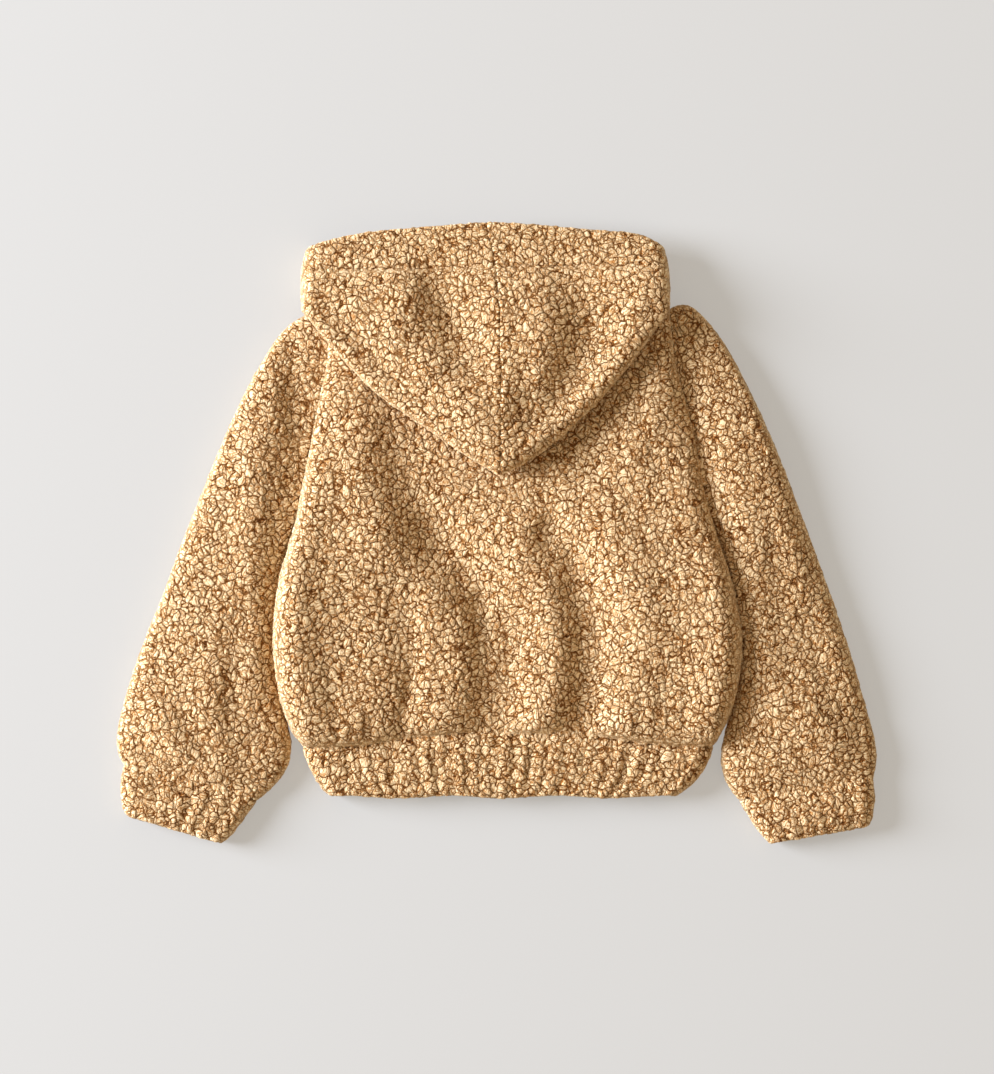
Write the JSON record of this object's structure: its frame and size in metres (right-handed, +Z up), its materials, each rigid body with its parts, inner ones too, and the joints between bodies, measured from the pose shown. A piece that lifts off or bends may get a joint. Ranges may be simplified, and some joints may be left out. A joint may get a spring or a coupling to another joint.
{
  "type": "plush hoodie",
  "caption": "Child's curly plush pullover hoodie laid flat on its front, hood thrown back over the back panel, gathered cuffs and hem band.",
  "frame": {"origin": "on the surface the garment lies on, below the middle of its outline", "axes": "+Z up off the surface, +Y towards the hood, +X to the right as seen from above with the hood at the top"},
  "size_m": [0.7222, 0.59, 0.0567],
  "materials": {
    "plush": "matte curly pile"
  },
  "bodies": {
    "root": {"body_back": "plush", "body_front": "plush", "sleeve_left": "plush", "sleeve_right": "plush", "cuff_left": "plush", "cuff_right": "plush", "hem_band": "plush", "hood_left": "plush", "hood_right": "plush"}
  },
  "joints": []
}
